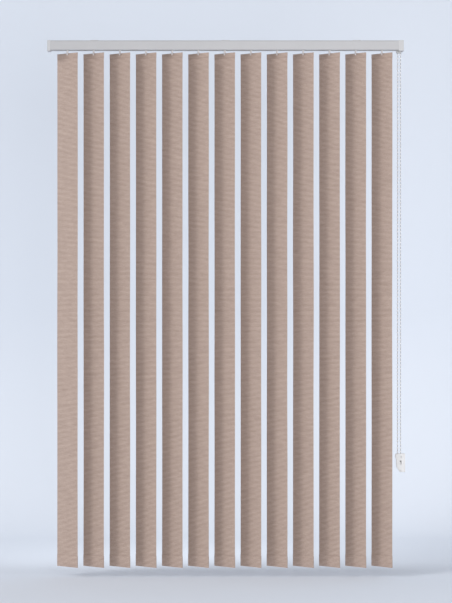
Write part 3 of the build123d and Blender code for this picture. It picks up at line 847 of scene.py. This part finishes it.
def worm_thread(number, node, worm, material):
    """The helical ridge around one carrier's worm."""
    hook_low, hook_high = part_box(node.replace("carrier", "louvre"))
    axis_x = (hook_low.x + hook_high.x) / 2
    turns = worm.length / worm.lead - 1
    per_turn = 24
    sunk = 0.1 * MM
    foot = worm.radius - sunk
    start = -turns * worm.lead / 2
    half = 0.3 * worm.lead
    bm = bmesh.new()
    corners = ((start - half, foot), (start - half / 2, worm.radius + worm.ridge))
    corners += ((start + half / 2, worm.radius + worm.ridge), (start + half, foot))
    ring = [bm.verts.new((x, 0.0, z)) for x, z in corners]
    section = bm.faces.new(ring)
    steps = round(turns * per_turn)
    bmesh.ops.spin(
        bm,
        geom=[section, *section.edges, *ring],
        axis=(1.0, 0.0, 0.0),
        cent=(0.0, 0.0, 0.0),
        dvec=(turns * worm.lead / steps, 0.0, 0.0),
        angle=math.tau * turns,
        steps=steps,
        use_merge=False,
        use_duplicate=False,
    )
    bmesh.ops.recalc_face_normals(bm, faces=bm.faces)
    bmesh.ops.translate(bm, verts=bm.verts, vec=(axis_x, worm.offset, -worm.drop))
    thread = object_from(bm, f"worm_thread_{number:02d}")
    thread.data.materials.append(material)
    body = node if node in frame["bodies"] else "rail"
    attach(thread, body)
    return thread


class BLIND_OT_worms(Operator):
    """Wind the thread around the worm in every carrier"""

    bl_idname = "blind.worms"
    bl_label = "Worm threads"

    def execute(self, context):
        material = gear_plastic(context.scene.blind_finish)
        carriers = [name for name in nodes_named("carrier_") if name != "carrier_stop"]
        for number, node in enumerate(carriers, start=1):
            worm_thread(number, node, context.scene.blind_worm, material)
        return {"FINISHED"}


# ---------------------------------------------------------------------------
# Finishes on the CAD nodes
# ---------------------------------------------------------------------------


class BLIND_OT_finishes(Operator):
    """Give every shown rail, cap, hook, carrier, gear and pin its own finish"""

    bl_idname = "blind.finishes"
    bl_label = "Finishes"

    def execute(self, context):
        colours = context.scene.blind_finish
        families = (
            (rail_paint_with_shade, ("headrail",)),
            (cap_plastic_with_shade, ("end_cap", "control_housing", "control_cover", "chain_guide")),
            (tidy_plastic, ("tidy_body", "tidy_cover", "tidy_wheel")),
            (hook_plastic, ("hook_",)),
            (carrier_plastic, ("carrier_",)),
            (gear_plastic, ("sprocket", "rod_gear")),
            (pin_steel, ("sprocket_pin", "tidy_pin")),
            (rod_metal, ("tilt_rod",)),
            (bracket_steel, ("bracket_",)),
            (chain_plastic, ("control_chain",)),
        )
        for finish, prefixes in families:
            material = finish(colours)
            for name, node in frame["nodes"].items():
                if name.startswith(prefixes):
                    node.data.materials.clear()
                    node.data.materials.append(material)
        return {"FINISHED"}


# ---------------------------------------------------------------------------
# Stage
# ---------------------------------------------------------------------------


def backdrop_material(colour):
    """Pale matt paper, clear from behind so that the back of the blind can be seen."""
    material, tree, shader = new_material("Backdrop paper")
    clouds = noise_value(tree, object_place(tree), 0.8, detail=2.0)
    tone = mixed(tree, clouds, shade(colour, 0.985), shade(colour, 1.015))
    tree.links.new(tone, shader.inputs["Base Color"])
    shader.inputs["Roughness"].default_value = 0.95
    shader.inputs["Specular IOR Level"].default_value = 0.1
    clear = add_node(tree, "ShaderNodeBsdfTransparent")
    behind = add_node(tree, "ShaderNodeNewGeometry").outputs["Backfacing"]
    inputs = {0: behind, 1: shader.outputs[0], 2: clear.outputs[0]}
    both = add_node(tree, "ShaderNodeMixShader", inputs)
    tree.links.new(both.outputs[0], tree.nodes["Material Output"].inputs["Surface"])
    return material


def sweep(floor_z, colour):
    """A floor that curves up into a wall behind the blind."""
    wide, near, far, radius, top = 7.0, -12.0, 1.2, 0.8, 3.2
    bm = bmesh.new()
    verts = [bm.verts.new((x, near, floor_z)) for x in (-wide, wide)]
    edges = [bm.edges.new(verts)]

    def drawn_out(edges, vec):
        grown = bmesh.ops.extrude_edge_only(bm, edges=edges)["geom"]
        bmesh.ops.translate(bm, verts=[v for v in grown if isinstance(v, bmesh.types.BMVert)], vec=vec)
        return [e for e in grown if isinstance(e, bmesh.types.BMEdge)]

    edges = drawn_out(edges, (0.0, far - near, 0.0))
    curved = bmesh.ops.spin(
        bm,
        geom=[*edges, *edges[0].verts],
        axis=(1.0, 0.0, 0.0),
        cent=(0.0, far, floor_z + radius),
        angle=math.pi / 2,
        steps=16,
        use_merge=False,
    )["geom_last"]
    edges = [item for item in curved if isinstance(item, bmesh.types.BMEdge)]
    drawn_out(edges, (0.0, 0.0, top - radius - floor_z))
    bmesh.ops.recalc_face_normals(bm, faces=bm.faces)
    if sum(face.normal.z for face in bm.faces) < 0:
        bmesh.ops.reverse_faces(bm, faces=bm.faces)
    for face in bm.faces:
        face.smooth = True
    floor = object_from(bm, "backdrop")
    floor.data.materials.append(backdrop_material(colour))


def lamp_towards(light, place, target):
    """A lamp at a place, turned to the target and left out of the picture itself."""
    lamp = bpy.data.objects.new(light.name, light)
    bpy.context.scene.collection.objects.link(lamp)
    lamp.location = place
    lamp.rotation_euler = (target - place).to_track_quat("-Z", "Y").to_euler()
    lamp.visible_camera = False


def softbox(name, place, target, size, power, colour=(1.0, 1.0, 1.0)):
    """A square light at a place, facing the target."""
    light = bpy.data.lights.new(name, "AREA")
    light.shape = "SQUARE"
    light.size = size
    light.energy = power
    light.color = colour
    lamp_towards(light, place, target)


def sunlight(name, place, target, softness, strength, colour):
    """Even light from far off, along the line from a place to the target."""
    light = bpy.data.lights.new(name, "SUN")
    light.angle = softness
    light.energy = strength
    light.color = colour
    lamp_towards(light, place, target)


def out_from(target, azimuth, elevation, distance):
    """A place seen from the target at an azimuth, left of the room's middle, and an elevation."""
    turn, rise = math.radians(azimuth), math.radians(elevation)
    away = Vector((-math.sin(turn) * math.cos(rise), -math.cos(turn) * math.cos(rise), math.sin(rise)))
    return target + away * distance


class BLIND_OT_stage(Operator):
    """Set the camera, the soft lights and the pale floor and backdrop"""

    bl_idname = "blind.stage"
    bl_label = "Stage"

    def execute(self, context):
        stage = context.scene.blind_stage
        scene = context.scene
        low, high = cad_box
        middle = Vector((0.0, 0.0, (low[2] + high[2]) / 2))

        camera = bpy.data.objects.new("camera", bpy.data.cameras.new("camera"))
        scene.collection.objects.link(camera)
        aside = 0.0015
        camera.location = (aside, -stage.distance, stage.eye_level)
        camera.rotation_euler = (math.pi / 2, 0.0, 0.0)
        camera.data.sensor_width = 36.0
        camera.data.lens = camera.data.sensor_width * stage.distance / stage.view_height
        camera.data.clip_end = 100.0
        scene.camera = camera

        floor_gap = 0.03
        sweep(low[2] - floor_gap, stage.backdrop)
        wall = Vector((0.0, 2.0, middle.z - 0.6))
        sunlight("key", out_from(middle, 50, 30, 6.0), middle, stage.softness, stage.key, (1.0, 0.985, 0.97))
        softbox("fill", out_from(middle, -8, 1, 6.0), middle, 1.6, stage.fill)
        softbox("wash", Vector((0.0, 0.5, middle.z)), wall, 1.2, stage.wash, (0.95, 0.98, 1.0))

        world = bpy.data.worlds.new("room")
        world.use_nodes = True
        world.node_tree.nodes["Background"].inputs["Color"].default_value = (*stage.ambient, 1.0)
        scene.world = world
        scene.view_settings.view_transform = "Standard"
        return {"FINISHED"}


# ---------------------------------------------------------------------------
# Panel and registration
# ---------------------------------------------------------------------------


class BLIND_PT_panel(Panel):
    """The blind's settings and the steps that build it"""

    bl_label = "Vertical blind"
    bl_idname = "BLIND_PT_panel"
    bl_space_type = "VIEW_3D"
    bl_region_type = "UI"
    bl_category = "Blind"

    def draw(self, context):
        for operator, groups in STEPS:
            box = self.layout.box()
            for group in groups:
                settings = getattr(context.scene, group)
                for name in settings.__annotations__:
                    box.prop(settings, name)
            box.operator(operator)


STEPS = (
    ("blind.stage", ("blind_stage",)),
    ("blind.chain", ("blind_chain",)),
    ("blind.louvres", ("blind_louvre", "blind_cloth")),
    ("blind.worms", ("blind_worm",)),
    ("blind.finishes", ("blind_finish",)),
)

GROUPS = {
    "blind_louvre": LouvreSettings,
    "blind_cloth": ClothSettings,
    "blind_chain": ChainSettings,
    "blind_worm": WormSettings,
    "blind_finish": FinishSettings,
    "blind_stage": StageSettings,
}

CLASSES = (
    *GROUPS.values(),
    BLIND_OT_stage,
    BLIND_OT_chain,
    BLIND_OT_louvres,
    BLIND_OT_worms,
    BLIND_OT_finishes,
    BLIND_PT_panel,
)


def register():
    """Registers the settings, the steps and the panel."""
    for item in CLASSES:
        bpy.utils.register_class(item)
    for name, group in GROUPS.items():
        setattr(bpy.types.Scene, name, PointerProperty(type=group))


def unregister():
    """Takes the settings, the steps and the panel away again."""
    for name in GROUPS:
        delattr(bpy.types.Scene, name)
    for item in reversed(CLASSES):
        bpy.utils.unregister_class(item)


def main():
    """Builds the blind around its frame."""
    register()
    bpy.ops.blind.stage()
    bpy.ops.blind.chain()
    bpy.ops.blind.louvres()
    bpy.ops.blind.worms()
    bpy.ops.blind.finishes()


if __name__ == "__main__":
    main()
